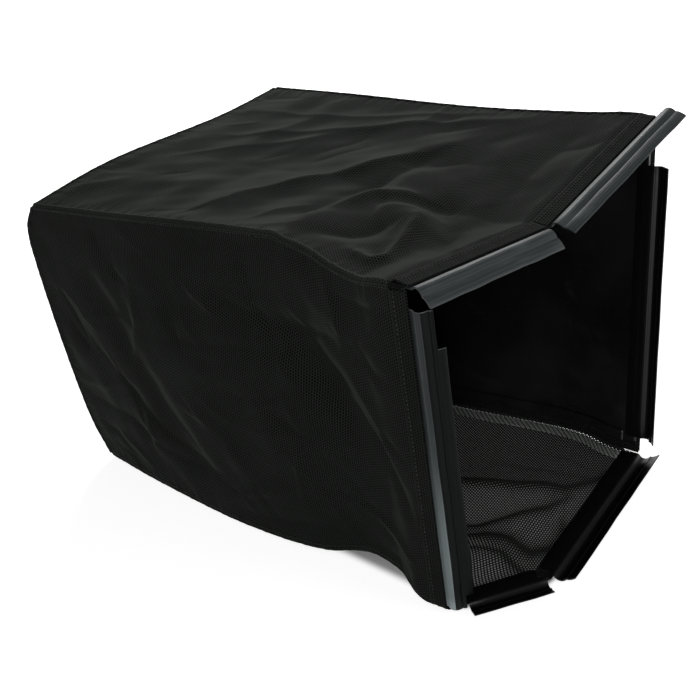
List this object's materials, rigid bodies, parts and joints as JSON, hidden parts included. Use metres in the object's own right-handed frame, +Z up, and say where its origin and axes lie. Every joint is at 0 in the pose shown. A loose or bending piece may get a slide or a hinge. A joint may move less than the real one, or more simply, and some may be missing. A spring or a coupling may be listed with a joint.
{
  "type": "mower grass collection bag",
  "caption": "Sewn mesh bag that tapers and sags, open at one end, with piped seams, a coated liner on one side and channels round the mouth that clip over the rod of a frame.",
  "frame": {"origin": "middle of the bag's outline, on the floor it rests on", "axes": "+Z up, the mouth faces -Y and the closed rear +Y, +X is to the right of someone who faces the mouth"},
  "size_m": [0.4084, 0.6686, 0.3473],
  "materials": {
    "mesh_fabric": "matte black woven mesh",
    "coated_liner": "glossy black coated cloth",
    "hem_tape": "matte black twill tape",
    "piping": "matte black welt",
    "vinyl_channel": "satin black extruded vinyl"
  },
  "bodies": {
    "root": {"top_panel": "mesh_fabric", "side_panel_left": "mesh_fabric", "side_panel_right": "mesh_fabric", "bottom_panel": "mesh_fabric", "rear_panel": "mesh_fabric", "side_liner": "coated_liner", "liner_hem": "hem_tape", "hem_top_left": "hem_tape", "hem_top_right": "hem_tape", "hem_left": "hem_tape", "hem_right": "hem_tape", "hem_bottom_left": "hem_tape", "hem_bottom_right": "hem_tape", "piping_top_left": "piping", "piping_top_right": "piping", "piping_bottom_left": "piping", "piping_bottom_right": "piping", "piping_top_rear": "piping", "piping_bottom_rear": "piping", "piping_rear_left": "piping", "piping_rear_right": "piping", "channel_top_left": "vinyl_channel", "channel_top_right": "vinyl_channel", "channel_left": "vinyl_channel", "channel_right": "vinyl_channel", "channel_bottom_left": "vinyl_channel", "channel_bottom_right": "vinyl_channel"}
  },
  "joints": []
}
